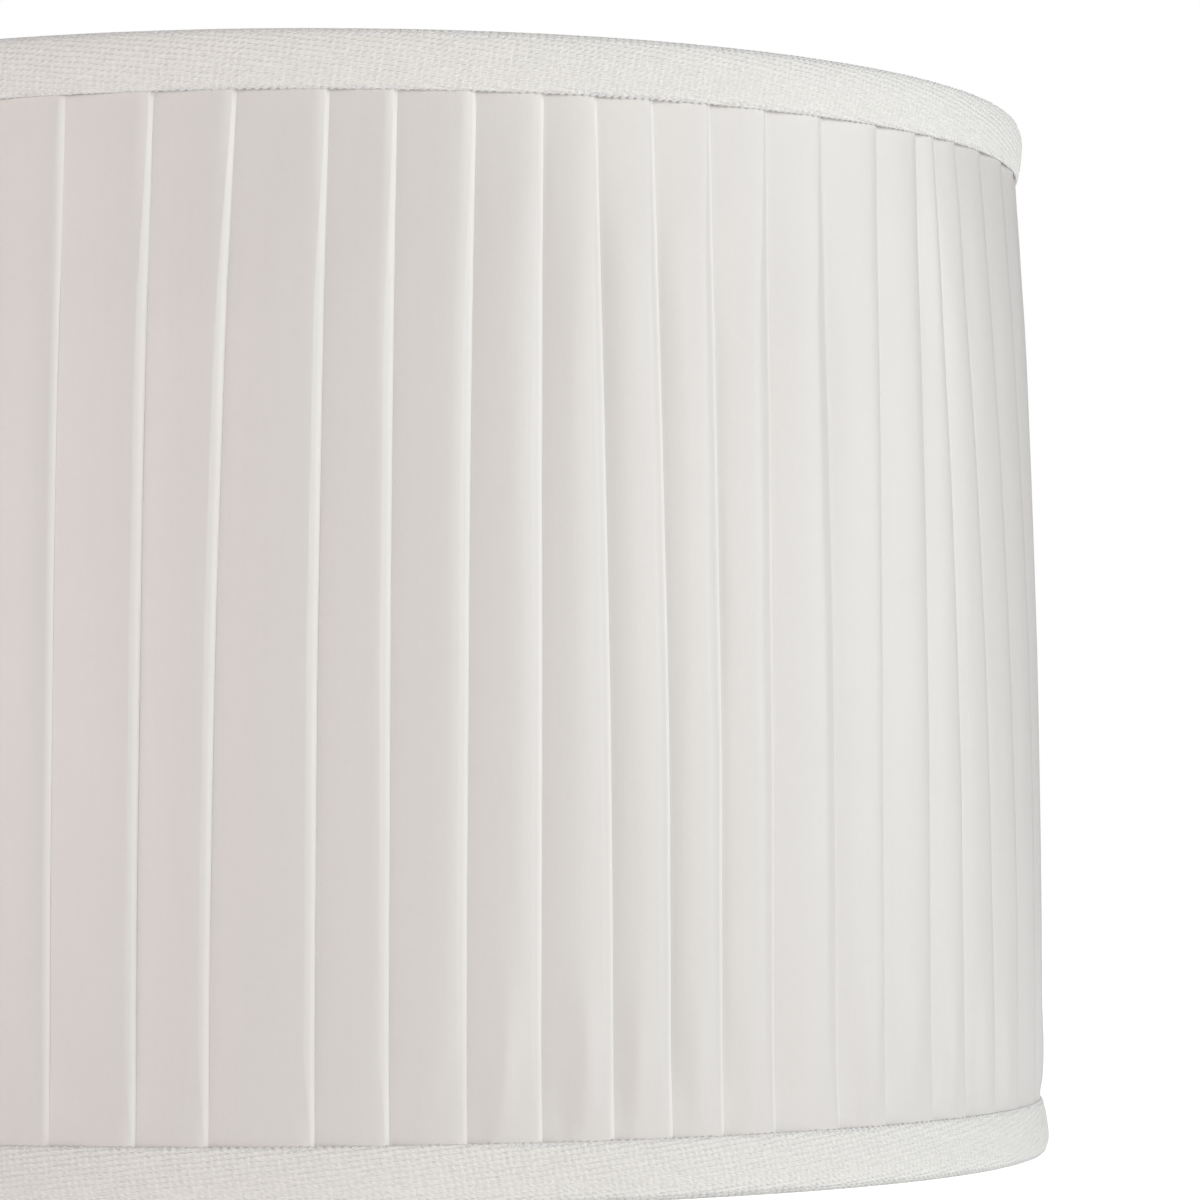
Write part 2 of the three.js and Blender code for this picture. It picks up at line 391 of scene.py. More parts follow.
def lathe(name, outline, segments, place=Vector, closed=True):
    """An outline of (radius, height) pairs turned about Z, with each point then placed."""
    build = bmesh.new()
    rings = []
    for j in range(segments):
        angle = TURN * j / segments
        rings.append([build.verts.new(place(around(angle, r, h))) for r, h in outline])
    last = len(outline) if closed else len(outline) - 1
    for j in range(segments):
        here, there = rings[j], rings[(j + 1) % segments]
        for k in range(last):
            after = (k + 1) % len(outline)
            if outline[k][0] or outline[after][0]:
                build.faces.new((here[k], there[k], there[after], here[after]))
    return finish_mesh(build, name)


def turned_ring(name, outline, material):
    """A ring whose broad flats are shaded flat beside its narrow rounded edges."""
    ring = shaped(lathe(name, outline, 120), "WEIGHTED_NORMAL", keep_sharp=True)
    ring.data.materials.append(material)
    return ring


# -------- materials


def linear(red, green, blue):
    """A colour given as it looks, in 0 to 255, in the renderer's own units."""
    return tuple((c / 255) ** 2.2 for c in (red, green, blue)) + (1.0,)


class Finish(Wiring):
    """A material, with the nodes that feed its shader."""

    def __init__(self, name):
        self.material = bpy.data.materials.new(name)
        self.material.use_nodes = True
        super().__init__(self.material.node_tree)

    def place(self):
        """Where a point is on the object, in metres."""
        return self.out("ShaderNodeTexCoord", output=3)

    def mottle(self, per_metre, detail=2.0):
        """Noise about zero that is fixed to the object."""
        return self.noise(self.place(), per_metre, detail)

    def cloth(self):
        """Where a point is on its flat cloth, across and up, in metres."""
        return self.split(self.out("ShaderNodeUVMap", uv_map="cloth"))[:2]

    def yarns(self, value, pitch):
        """Evenly spaced yarns, 0 in the gaps and 1 on the crowns."""
        return self.math("SINE", value * (TURN / pitch)) * 0.5 + 0.5

    def relief(self, height, strength, distance, **under):
        inputs = {"Height": height, "Strength": strength, "Distance": distance, **under}
        return self.out("ShaderNodeBump", inputs)

    def mixed(self, factor, first, second):
        """A colour between two, each of them a term or as it looks in 0 to 255."""
        made = self.node("ShaderNodeMix", data_type="RGBA")
        self.feed(made.inputs["Factor"], factor)
        for name, colour in (("A", first), ("B", second)):
            self.feed(made.inputs[name], colour if isinstance(colour, Term) else linear(*colour))
        return Term(self, made.outputs["Result"])

    def drifting(self, cloud, first, second):
        """A colour that drifts between two, as noise about zero does."""
        return self.mixed(cloud * 0.5 + 0.5, first, second)

    def shaded(self, **inputs):
        """Feeds the shader's own sockets, and gives the material."""
        shader = self.tree.nodes["Principled BSDF"]
        for name, value in inputs.items():
            self.feed(shader.inputs[name.replace("_", " ")], value)
        return self.material


def pleated_silk():
    w = Finish("pleated_silk")
    across, up = w.cloth()
    warp = w.yarns(across, 0.42 * MM)
    twill = w.yarns(across + up, 0.7 * MM)
    slub = w.noise(w.xyz(across * 900.0, up * 40.0, 0.0), 1.0, 3.0)
    crush = w.mottle(55.0, 3.0)
    tone = w.drifting(w.mottle(9.0), (224, 220, 217), (230, 227, 225))
    grain = w.mottle(1300.0)
    shadow = twill * 0.06 + slub * 0.04 + grain * 0.05
    threads = w.mixed(shadow, tone, (200, 192, 188))
    # A painted highlight: the silk's colour is made lighter along the pressed edge of each fold,
    # where the roll catches the light.
    fold_highlight = w.out("ShaderNodeAttribute", output=2, attribute_name="fold_highlight")
    cloth_grain = warp * 0.5 + twill * 0.5 + slub * 0.3 + grain * 0.4
    folds = w.relief(crush, 0.10, 0.6 * MM)
    return w.shaded(
        # base colour lightened by the painted highlight along the fold edges
        Base_Color=w.mixed(fold_highlight * 0.7, threads, (252, 250, 246)),
        Roughness=crush * 0.04 + 0.39,
        Sheen_Weight=0.25,
        Sheen_Roughness=0.35,
        Specular_IOR_Level=1.0,
        Normal=w.relief(cloth_grain, 0.2, 0.08 * MM, Normal=folds),
    )


def herringbone_tape():
    w = Finish("herringbone_tape")
    along, across = w.cloth()
    # Rows of short floats, a millimetre apart, that climb gently one way over the outer
    # half of the tape and the other way over the inner half.
    climb = w.math("ABSOLUTE", across) - along * 0.11
    wobble = w.mottle(210.0) * (0.3 * MM)
    rows = w.yarns(climb + wobble, 1.0 * MM)
    floats = w.yarns(along + climb * 1.5 + wobble, 1.3 * MM)
    fluff = w.mottle(1500.0, 4.0)
    weave = rows * 0.35 + rows * floats * 0.6 + fluff * 0.5
    cloud = w.mottle(26.0, 3.0)
    clean = w.drifting(cloud, (249, 247, 243), (253, 252, 249))
    # Painted shade: the tape is darker in the low places of its weave, where shade falls between
    # the yarns.
    weave_shade = w.ramp(weave, 0.5, -0.2, 0.0, 0.18)
    return w.shaded(
        Base_Color=w.mixed(weave_shade, clean, (196, 189, 184)),
        Roughness=0.92,
        Sheen_Weight=0.4,
        Sheen_Roughness=0.6,
        Specular_IOR_Level=0.25,
        Normal=w.relief(weave, 0.8, 0.36 * MM),
    )


def selvedge_yarn():
    w = Finish("selvedge_yarn")
    fibre = w.mottle(2200.0)
    tone = w.drifting(w.mottle(60.0), (250, 248, 244), (255, 254, 251))
    normal = w.relief(fibre, 0.5, 0.12 * MM)
    return w.shaded(Base_Color=tone, Roughness=0.9, Sheen_Weight=0.4, Normal=normal)


def lining_cloth():
    w = Finish("lining_cloth")
    across, up = w.cloth()
    warp = w.yarns(across, 0.5 * MM)
    weft = w.yarns(up, 0.5 * MM)
    cloud = w.mottle(20.0, 3.0)
    tone = w.drifting(cloud, (248, 245, 238), (252, 250, 245))
    return w.shaded(
        Base_Color=w.mixed(warp * 0.05, tone, (214, 210, 203)),
        Roughness=cloud * 0.05 + 0.6,
        Sheen_Weight=0.2,
        Normal=w.relief(warp + weft, 0.12, 0.08 * MM),
    )


def grained(name, light, dark, roughness, uneven, grains, depth, clouds):
    """A hard finish with a fine grain, or the peel of powder coat, and an uneven gloss."""
    w = Finish(name)
    grain = w.mottle(grains)
    tone = w.drifting(w.mottle(clouds), dark, light)
    normal = w.relief(grain, *depth)
    return w.shaded(Base_Color=tone, Roughness=grain * uneven + roughness, Normal=normal)


def zinc_plate():
    w = Finish("zinc_plate")
    x, y, z = w.split(w.place())
    drawn = w.noise(w.xyz(x * 40.0, y * 2600.0, z * 2600.0), 1.0)
    bloom = w.mottle(140.0, 4.0)
    return w.shaded(
        Base_Color=w.drifting(bloom, (205, 205, 207), (228, 228, 229)),
        Metallic=0.9,
        Roughness=drawn * 0.08 + bloom * 0.06 + 0.36,
        Normal=w.relief(drawn, 0.12, 0.05 * MM),
    )


SILK = pleated_silk()
TAPE = herringbone_tape()
YARN = selvedge_yarn()
LINING = lining_cloth()
ZINC = zinc_plate()
PEEL = (0.06, 900.0, (0.15, 0.1 * MM), 30.0)
MOULDED = (0.05, 1500.0, (0.08, 0.05 * MM), 90.0)
PAINT = grained("powder_coat", (242, 242, 240), (236, 236, 233), 0.42, *PEEL)
NYLON = grained("washer_nylon", (240, 238, 230), (228, 226, 216), 0.5, *MOULDED)
REDUCER = grained("reducer_plastic", (242, 241, 238), (232, 231, 227), 0.4, *MOULDED)

# -------- the pleat marks

PLEATS = 64
FIRST_MARK = math.radians(-20)  # left edge of the first pleat below, at the foot

# The pleats at the front, from the first mark rightwards: width at the foot, how far the
# right edge leans rightwards at the head, width of the soft roll at that edge, and how
# much the foot of the pleat puckers, all in millimetres.
FRONT_PLEATS = [
    (16.4, 3.3, 2.0, 0.0),
    (13.3, 5.8, 2.0, 0.1),
    (19.0, 3.8, 2.1, 0.1),
    (13.3, 3.0, 2.2, 0.3),
    (14.1, 3.8, 2.4, 0.4),
    (13.9, 2.8, 2.8, 1.8),
    (13.9, -0.8, 3.0, 2.1),
    (11.8, -0.8, 3.6, 0.9),
    (11.0, 1.0, 4.0, 0.7),
    (11.8, 3.0, 4.2, 0.5),
    (16.2, 1.0, 4.6, 0.4),
    (13.1, 4.5, 2.8, 1.0),
    (15.7, 2.5, 3.4, 0.9),
    (12.8, -4.0, 2.8, 1.2),
    (14.1, -9.0, 2.6, 0.9),
    (15.4, -11.0, 2.6, 0.9),
]
LAST_LEAN = 2.5 * MM  # of the edge at the first mark, which the ring of pleats ends on

# The made-up pleats behind: each one's share of an even width, and, in millimetres, how
# far its edge sways off an even lean, its roll and its pucker. None puckers inwards.
WIDTH_SHARES = (0.82, 1.2)
SWAYS = (-1.6, 1.6)
ROLLS = (2.0, 4.4)
PUCKERS = (-0.7, 1.7)


def all_pleats():
    """The front pleats, and the rest of the ring made up to fill the circle."""
    dice = random.Random(23)
    pleats = [tuple(size * MM for size in row) for row in FRONT_PLEATS]
    rest = PLEATS - len(pleats)
    space = TURN * FOOT_RADIUS - sum(row[0] for row in pleats)
    shares = [dice.uniform(*WIDTH_SHARES) for _ in range(rest)]
    lean = pleats[-1][1]
    for i, share in enumerate(shares):
        width = space * share / sum(shares)
        back = (i + 1) / rest
        drift = lean * (1 - back) ** 2 + LAST_LEAN * back
        sway = dice.uniform(*SWAYS) * MM if i < rest - 1 else 0.0
        roll = dice.uniform(*ROLLS) * MM
        pucker = max(0.0, dice.uniform(*PUCKERS)) * MM
        pleats.append((width, drift + sway, roll, pucker))
    return pleats


def pleat_marks():
    """A row of points, one for each pleat, that carries the marks as attributes."""
    mesh = bpy.data.meshes.new("pleat_marks")
    mesh.from_pydata([(i * 0.01, 0, 0) for i in range(PLEATS)], [], [])
    marks = {name: [] for name in ("foot", "head", "foot width", "head width", "roll", "pucker")}
    foot = FIRST_MARK
    lean = LAST_LEAN
    for width, next_lean, roll, pucker in all_pleats():
        turn = width / FOOT_RADIUS
        head_turn = turn + (next_lean - lean) / HEAD_RADIUS
        row = (foot, foot + lean / HEAD_RADIUS, turn, head_turn, roll, pucker)
        for values, value in zip(marks.values(), row):
            values.append(value)
        foot += turn
        lean = next_lean
    for name, values in marks.items():
        mesh.attributes.new(name, "FLOAT", "POINT").data.foreach_set("value", values)
    return mesh


# -------- the pleated cover

UNDERLAP = 6 * MM  # how far each pleat's cloth runs back under it
SILK_WALL = 0.12 * MM

# One pleat's cloth in plan, from the fold hidden under the pleat before, out and over the
# face, round the soft roll at its edge, and back under itself. Each row is a point: how
# far over the face, through the roll or back under it is, and its lift.
FACE_LIFT = [(0.0, 0.30), (0.05, 0.37), (0.11, 0.45), (0.19, 0.54), (0.29, 0.64)]
FACE_LIFT += [(0.40, 0.74), (0.53, 0.84), (0.68, 0.93), (0.84, 0.99), (1.0, 1.0)]
ROLL_LIFT = [(0.12, 0.97), (0.27, 0.90), (0.44, 0.79), (0.62, 0.66), (0.79, 0.53), (0.93, 0.40)]
UNDER_LIFT = [(0.01, 0.31), (0.10, 0.22), (0.38, 0.19), (0.70, 0.15), (1.0, 0.06)]
SECTION = (
    [(0.0, 0.0, 1.0, 0.06), (0.0, 0.0, 0.5, 0.10)]
    + [(face, 0.0, 0.0, lift) for face, lift in FACE_LIFT]
    + [(1.0, roll, 0.0, lift) for roll, lift in ROLL_LIFT]
    + [(1.0, 1.0, under, lift) for under, lift in UNDER_LIFT]
)
COLUMNS = len(SECTION) - 1  # for each pleat
TURNED_EDGE = len(SECTION) - len(UNDER_LIFT)  # the crisp edge where the cloth turns under
ROWS = 34
CLOSING = 0.55  # how much closer the rows lie at the rims

FREE_OF_FOOT = 18 * MM  # above the foot tape the pleats are let go within this height
FREE_OF_HEAD = 48 * MM  # and below the head tape within this one
WANDER = 0.35 * MM  # how far the folds wander off their marks
PUCKER_HEIGHT = 34 * MM
DENTED = (2 * MM, 14 * MM, 16 * MM, 60 * MM)  # below the head tape dents start, hold and end
FOLD_HIGHLIGHT_REACH = (0.3 * MM, 1.5 * MM)  # from a fold's edge the painted highlight is at full strength, and is gone


def closing_up(t, up):
    """Evenly spaced rows drawn together towards both rims."""
    return up - t.math("SINE", up * TURN) * (CLOSING / TURN)


def pleating_tree():
    t = GeometryTree("pleated_cover")
    height, clear, band = t.sizes(Height=HEIGHT, Rim_Clear=RIM_CLEAR, Tape_Band=TAPE_BAND)
    foot, head, bow = t.sizes(Foot_Radius=FOOT_RADIUS, Head_Radius=HEAD_RADIUS, Bow=BOW)
    underlap, proud = t.sizes(Underlap=UNDERLAP, Proud=0.4 * MM)
    loft, pressed = t.sizes(Loft=2.5 * MM, Pressed_Loft=1.0 * MM)
    crumple, dents = t.sizes(Crumple=0.18 * MM, Dents=0.35 * MM)
    marks = t.given()

    grid, x, y = t.flat_grid(PLEATS * COLUMNS + 1, ROWS)
    count = x * float(PLEATS)
    pleat = t.math("MINIMUM", t.math("FLOOR", count + 0.001), float(PLEATS - 1))
    along = count - pleat

    def marked(name):
        value = t.out("GeometryNodeInputNamedAttribute", {"Name": name}, data_type="FLOAT")
        inputs = {"Geometry": marks, "Value": value, "Index": pleat}
        return t.out("GeometryNodeSampleIndex", inputs, data_type="FLOAT", domain="POINT")

    # Height, the distance from each tape, and how far the pleats are let go from them.
    z = clear + (height - clear * 2.0) * closing_up(t, y)
    up = z / height
    above_foot = z - band
    below_head = height - band - z
    free_foot = t.ramp(above_foot, -2 * MM, FREE_OF_FOOT)
    free_head = t.ramp(below_head, -2 * MM, FREE_OF_HEAD)
    free = free_foot * free_head
    lean = up * up

    left = marked("foot") * (1.0 - lean) + marked("head") * lean
    width = marked("foot width") * (1.0 - lean) + marked("head width") * lean
    radius = bowed_radius(foot, head, bow, up)

    crisp = t.math("COMPARE", along, TURNED_EDGE / COLUMNS, 0.2 / COLUMNS)
    creased = t.out(
        "GeometryNodeSetShadeSmooth",
        {"Geometry": grid, "Selection": crisp, "Shade Smooth": False},
        domain="EDGE",
    )

    face, through_roll, under, full = [t.drawn(along, values) for values in zip(*SECTION)]
    # Near the head the face climbs late, so that the folds look thin and sharp there.
    lift = t.math("POWER", full, 1.9 - 0.9 * free_head)
    shown = t.ramp(along, 0.12, 0.26) * t.ramp(along, 0.86, 0.74)

    # Slow wandering of the folds, and soft creases that run up the cloth.
    base_x = t.math("SINE", left + width * face) * radius
    base_y = t.math("COSINE", left + width * face) * radius
    wander = t.streaks(base_x, base_y, z, 12.0, 11.0) * WANDER
    crease = t.streaks(base_x, base_y, z, 190.0, 16.0, 2.0)
    sag = t.streaks(base_x, base_y, z, 40.0, 22.0)

    roll = marked("roll") * (0.4 + 0.6 * free) * (1.0 + sag * 0.18)
    arc = width * radius
    flat_face = arc - roll
    across = face * flat_face + through_roll * roll - under * underlap + wander * free

    # At the foot the cloth puckers up where the tape gathers it.
    spot = t.math("SINE", pleat * 2.4) * 0.1 + 0.45
    hump = t.bell((face - spot - 0.2 * free_foot) / (0.13 + 0.12 * free_foot))
    clear_of_tape = t.ramp(above_foot, -1 * MM, 6 * MM)
    fade = t.ramp(above_foot, 1 * MM, PUCKER_HEIGHT, 1.0, 0.0) * clear_of_tape
    pucker = marked("pucker") * hump * fade

    thickness = pressed + (loft - pressed) * free * (1.0 + sag * 0.15)
    start, hold, let_go, end = DENTED
    pinched = t.ramp(below_head, start, hold) * t.ramp(below_head, end, let_go)
    dent = t.streaks(base_x, base_y, z, 95.0, 38.0) * dents * pinched
    crumpling = (crease * crumple * (0.25 + 0.75 * free) + dent + pucker) * shown
    rise = (lift - 1.0) * thickness + proud * free + crumpling
    place = t.around(left + across / radius, radius + rise, z)

    from_edge = (1.0 - face) * flat_face + (1.0 - through_roll) * roll + under * underlap
    # A painted highlight along each fold's edge, stored for the silk's colour to read.
    highlit = t.store(creased, "fold_highlight", t.ramp(from_edge, *FOLD_HIGHLIGHT_REACH, 1.0, 0.0))
    cloth = t.xyz(left * foot + across + pleat * underlap * 2.0, z, 0.0)
    t.close_cloth(highlit, place, cloth)
    return t


def pleated_cover():
    cover = new_object("silk_cover", pleat_marks())
    pleating_tree().run(cover, Material=SILK)
    thicken(cover, SILK_WALL)
    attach(cover, "shade")
    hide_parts("pleated_cover")


# -------- the lining


LINING_GRID = (769, 28)  # points round the shade and up it
CROWDING = 0.3  # how strongly the columns are crowded towards the two side seams
DRAWN_IN = 0.7 * MM  # midway between two struts
GATHERED = 60 * MM  # from each rim the ripples of the gathers reach this far
SEAM_STITCHES = 62
FIRST_STITCH = 14 * MM  # above the foot
BESIDE_SEAM = 2.3 * MM
CLEAR_OF_SLIT = 12 * MM


def lining_tree():
    t = GeometryTree("lining")
    height, clear, bow = t.sizes(Height=HEIGHT, Rim_Clear=RIM_CLEAR, Bow=BOW)
    foot, head = t.sizes(Foot_Radius=LINING_FOOT, Head_Radius=HEAD_RADIUS - LINING_DEPTH)
    struts, ripple = t.sizes(Struts=float(STRUTS), Ripple=0.8 * MM)
    seam, seam_width = t.sizes(Seam=0.45 * MM, Seam_Width=1.1 * MM)

    grid, x, y = t.flat_grid(*LINING_GRID)
    even = x * -TURN
    angle = even + t.math("SINE", even * 2.0) * CROWDING
    z = clear + (height - clear * 2.0) * closing_up(t, y)
    radius = bowed_radius(foot, head, bow, z / height)
    flat_x = t.math("SINE", angle)
    flat_y = t.math("COSINE", angle)

    # The cloth is drawn straight between struts, and ripples where it is gathered in.
    span = t.math("COSINE", angle * struts + math.pi) * -0.5 + 0.5
    rim = 1.0 - t.ramp(z, 0.0, GATHERED) * t.ramp(height - z, 0.0, GATHERED)
    gathers = t.streaks(flat_x, flat_y, z, 26.0, 4.0)
    fine = t.streaks(flat_x, flat_y, z, 70.0, 9.0)
    drawn_in = span * DRAWN_IN + (gathers * 0.7 + fine * 0.5) * ripple * (0.35 + rim)
    # Each seam, over a hanger, is a narrow ridge where the two edges are turned in.
    ridge = t.bell(flat_y * radius / seam_width) * seam
    place = t.around(angle, radius - drawn_in - ridge, z)
    t.close_cloth(grid, place, t.xyz(angle * foot, z, 0.0))
    return t


def seam_stitches(tree, cloth):
    """Machine stitches down one side of each lining seam, laid on the cloth itself."""
    bare = bmesh.new()
    bare.from_mesh(cloth.data)
    surface = BVHTree.FromBMesh(bare)
    bare.free()
    places = []
    for side in (1, -1):
        for i in range(SEAM_STITCHES):
            z = FIRST_STITCH + i * SEAM_PITCH
            if abs(z - SLIT_HEIGHT) > CLEAR_OF_SLIT:
                start = Vector((0, side * BESIDE_SEAM, z))
                spot = surface.ray_cast(start, Vector((side, 0, 0)))[0]
                places.append((spot, (0.0, 0.0, 0.0)))
    stitches("seam_stitches", tree, places, 2.2 * MM, 0.28 * MM)


def lining():
    cloth = empty("soft_lining")
    lining_tree().run(cloth, Material=LINING)
    thicken(cloth, LINING_WALL)
    for side in (1, -1):
        cut_slit(cloth, side * HEAD_RADIUS, 12 * MM)
    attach(cloth, "shade")
    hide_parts("lining")
    return cloth


# -------- the tapes

# The tape's outer face, as (rise from the rim, how far it stands proud), in millimetres,
# from the outer selvedge over the rim. The inner face is the same, a little flatter.
TAPE_FACE = [(11.2, 0.15), (10.9, 0.55), (9.6, 0.95), (7.9, 1.3), (6.0, 1.62), (4.2, 1.85)]
TAPE_FACE += [(2.8, 1.8), (1.6, 1.4), (0.75, 0.75), (0.2, -0.1), (0.0, -1.1)]
INNER_FACE = [(0.0, -1.1), (0.25, 0.0), (1.2, 0.7), (3.0, 1.05)]
INNER_FACE += [(6.0, 1.0), (9.5, 0.8), (10.9, 0.5), (11.2, 0.1)]
INNER_DEPTH = LINING_DEPTH + 0.8 * MM  # of the inner face, from the outside of the cover
TAPE_WALL = 0.9 * MM
TAPE_COLUMNS = 400
LAP = 14 * MM / FOOT_RADIUS  # how far round the ends of a tape lap at the back, as an angle
LAP_UNDER = -0.5 * MM  # how far the lower end is pressed in
LAP_OVER = 0.45 * MM  # how far the upper one stands out
LAP_EASE = LAP * 0.4  # over which either end comes back to the run of the tape
TURNED_END = (0.15 * MM, 1.6 * MM)  # height and width of the edge turned in at the upper end


def tape_outline():
    """The tape's face as (rise, distance out from the cover's outside), in metres."""
    outer = [(rise * MM, proud * MM) for rise, proud in TAPE_FACE]
    inner = [(rise * MM, -INNER_DEPTH - proud * MM) for rise, proud in INNER_FACE]
    return rounded(outer + inner)


def lap_lift(travel):
    """How far a tape stands off where its ends lap, at an angle along it from its start."""
    lapped = LAP * 1.5
    if travel < lapped:
        return LAP_UNDER * min(1.0, (lapped - travel) / LAP_EASE)
    left = TURN + LAP - travel
    if left < lapped:
        height, width = TURNED_END
        ridge = height * math.exp(-((left * FOOT_RADIUS / width) ** 2))
        return LAP_OVER * min(1.0, (lapped - left) / LAP_EASE) + ridge
    return 0.0


def tape_line(outline, at_rim, travel):
    """A line of points across a tape, from its outer selvedge over the rim to the inner."""
    angle = math.pi - LAP / 2 + travel
    lift = lap_lift(travel)
    line = []
    for rise, proud in outline:
        spot = around(angle, 1.0, at_rim(rise) * 6.0)
        uneven = noise.noise(spot * 9.0) * 0.12 * MM + noise.noise(spot * 42.0) * 0.06 * MM
        slide = noise.noise(spot * 5.0 + Vector((9, 0, 0))) * 0.25 * MM * (rise / TAPE_BAND)
        side = max(-1.0, min(1.0, (proud + 0.5 * LINING_DEPTH) / (1.5 * MM)))
        low = max(0.0, 1.0 - rise / (2.5 * MM)) * max(0.0, -lift)
        reach = cover_radius(at_rim(rise)) + proud + uneven + side * lift
        line.append(around(angle, reach, at_rim(rise + slide + low)))
    return line


def bound_tape(name, node, at_rim):
    """A tape folded over a rim. at_rim turns a rise from that rim into a height."""
    outline = tape_outline()
    run = [0.0]
    for a, b in zip(outline, outline[1:]):
        run.append(run[-1] + math.dist(a, b))
    fold = run[len(run) // 2]
    whole = TURN + LAP
    steps = range(TAPE_COLUMNS + 1)
    lines = [tape_line(outline, at_rim, whole * j / TAPE_COLUMNS) for j in steps]

    def flat(column, row):
        return whole * column / TAPE_COLUMNS * FOOT_RADIUS, fold - run[row]

    outwards = lines[0][0] * Vector((1, 1, 0))
    tape = laid_sheet(name, lines, flat, outwards, TAPE_WALL, TAPE)
    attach(tape, "shade")
    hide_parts(node)


def lap_stitches(name, tree, at_rim):
    """Slip stitches that hold down the turned-in end of a tape, outside and inside."""
    angle = math.pi + LAP / 2
    places = []
    for i in range(6):
        z = at_rim((1.6 + 1.6 * i) * MM)
        for out in (1.75 * MM, -LINING_DEPTH - 2.0 * MM):
            spot = around(angle, cover_radius(z) + out, z)
            places.append((spot, (0.0, 0.95, angle)))
    stitches(name, tree, places, 1.9 * MM, 0.34 * MM)


ROW_SIZES = ("Radius", "Height", "Stagger", "Slant")


def selvedge_tree():
    """A ring of slanted yarn loops."""
    t = GeometryTree("selvedge")
    count = t.input("Count", "Int")
    seed = t.input("Seed", "Int")
    radius, height, stagger, slant = [t.input(name) for name in ROW_SIZES]
    length, girth = t.sizes(Length=1.9 * MM, Girth=0.72 * MM)
    lap, lap_over = t.sizes(Lap=LAP, Lap_Over=LAP_OVER)
    ring = t.out("GeometryNodeMeshCircle", {"Vertices": count, "Radius": radius})
    index = t.out("GeometryNodeInputIndex")
    angle = (index + stagger) * TURN / count
    from_back = t.math("ABSOLUTE", angle - math.pi)
    out = radius + t.ramp(from_back, lap * 0.52, lap * 0.48) * lap_over
    points = t.put(ring, t.around(angle, out, height))
    jitter = {"Min": Vector((-0.12, -0.12, 0.0)), "Max": Vector((0.12, 0.12, 0.0)), "Seed": seed}
    shake = t.split(t.out("FunctionNodeRandomValue", jitter, data_type="FLOAT_VECTOR"))
    turn = t.xyz(shake[0], slant + shake[1], angle)
    size = {"Min": 0.85, "Max": 1.12, "Seed": seed}
    swell = t.out("FunctionNodeRandomValue", size, output=1, data_type="FLOAT")
    drawn_out = t.xyz(length, girth * swell, girth * swell)
    t.close(t.on_points(points, t.yarn(), turn, Scale=drawn_out))
    return t


LOOPS = 600

# Rows of loops on each tape: rise from the rim and distance out from the cover, in
# millimetres, stagger and slant. The last two lie along the inner edge.
LOOP_ROWS = [
    (10.95, 0.15, 0.0, 0.35),
    (10.5, 0.36, 0.5, -0.45),
    (1.3, 0.95, 0.0, 0.4),
    (0.85, 0.45, 0.5, -0.4),
    (10.95, -6.2, 0.0, 0.35),
    (10.3, -6.4, 0.5, -0.45),
]


def selvedge(name, tree, at_rim, sign):
    """The yarn loops along a tape's selvedge and along its fold."""
    rows = []
    for number, (rise, out, stagger, slant) in enumerate(LOOP_ROWS):
        row = empty(f"{name}_{number}")
        z = at_rim(rise * MM)
        tree.run(
            row,
            Count=LOOPS,
            Radius=cover_radius(z) + out * MM,
            Height=z,
            Stagger=stagger,
            Slant=slant * sign,
            Seed=number + 3,
            Lap_Over=math.copysign(LAP_OVER, out),
            Material=YARN,
        )
        rows.append(row)
    whole = join(name, rows)
    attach(whole, "shade")
    return whole


def join(name, pieces):
    """Several plain meshes as one object."""
    build = bmesh.new()
    for piece in pieces:
        build.from_mesh(piece.data)
    material = pieces[0].data.materials[0]
    for piece in pieces:
        bpy.data.objects.remove(piece)
    return built(build, name, material)


# -------- wire frame

WIRE_DEPTH = 3.2 * MM  # from the outside of the cover to the middle of each wire


def wire_tree():
    t = GeometryTree("wire_frame")
    height, bow, inset = t.sizes(Height=HEIGHT, Bow=BOW, Ring_Inset=RIM_CLEAR + 1.5 * MM)
    foot = t.sizes(Foot_Radius=FOOT_RADIUS - WIRE_DEPTH)[0]
    head = t.sizes(Head_Radius=HEAD_RADIUS - WIRE_DEPTH)[0]
    ring_wire, strut_wire = t.sizes(Ring_Wire=3 * MM, Strut_Wire=2.5 * MM)
    struts = t.input("Struts", "Int")

    def wire(path, diameter, sides):
        section = {"Radius": diameter * 0.5, "Resolution": sides}
        profile = t.out("GeometryNodeCurvePrimitiveCircle", section, mode="RADIUS")
        inputs = {"Curve": path, "Profile Curve": profile, "Fill Caps": True}
        return t.out("GeometryNodeCurveToMesh", inputs)

    line = t.out("GeometryNodeCurvePrimitiveLine", {"End": t.xyz(0.0, 0.0, 1.0)}, mode="POINTS")
    points = t.out("GeometryNodeResampleCurve", {"Curve": line, "Count": 25}, mode="COUNT")
    share = t.split(t.out("GeometryNodeInputPosition"))[2]
    z = inset + (height - inset * 2.0) * share
    path = t.put(points, t.xyz(bowed_radius(foot, head, bow, z / height), 0.0, z))
    made = [t.round_axis(wire(path, strut_wire, 12), struts, 0.5)]
    for ring_height in (inset, height - inset):
        radius = bowed_radius(foot, head, bow, ring_height / height)
        loop = {"Radius": radius, "Resolution": 192}
        circle = t.out("GeometryNodeCurvePrimitiveCircle", loop, mode="RADIUS")
        ring = wire(circle, ring_wire, 14)
        lifted = {"Geometry": ring, "Translation": t.xyz(0.0, 0.0, ring_height)}
        made.append(t.out("GeometryNodeTransform", lifted))
    joined = t.node("GeometryNodeJoinGeometry")
    for piece in made:
        t.feed(joined.inputs["Geometry"], piece)
    t.close(Term(t, joined.outputs["Geometry"]))
    return t


def wire_frame():
    wires = empty("wire_frame")
    wire_tree().run(wires, Struts=STRUTS, Material=PAINT)
    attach(wires, "shade")
    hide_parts("top_ring", "bottom_ring", *[f"strut_{i + 1}" for i in range(STRUTS)])


# -------- gimbal


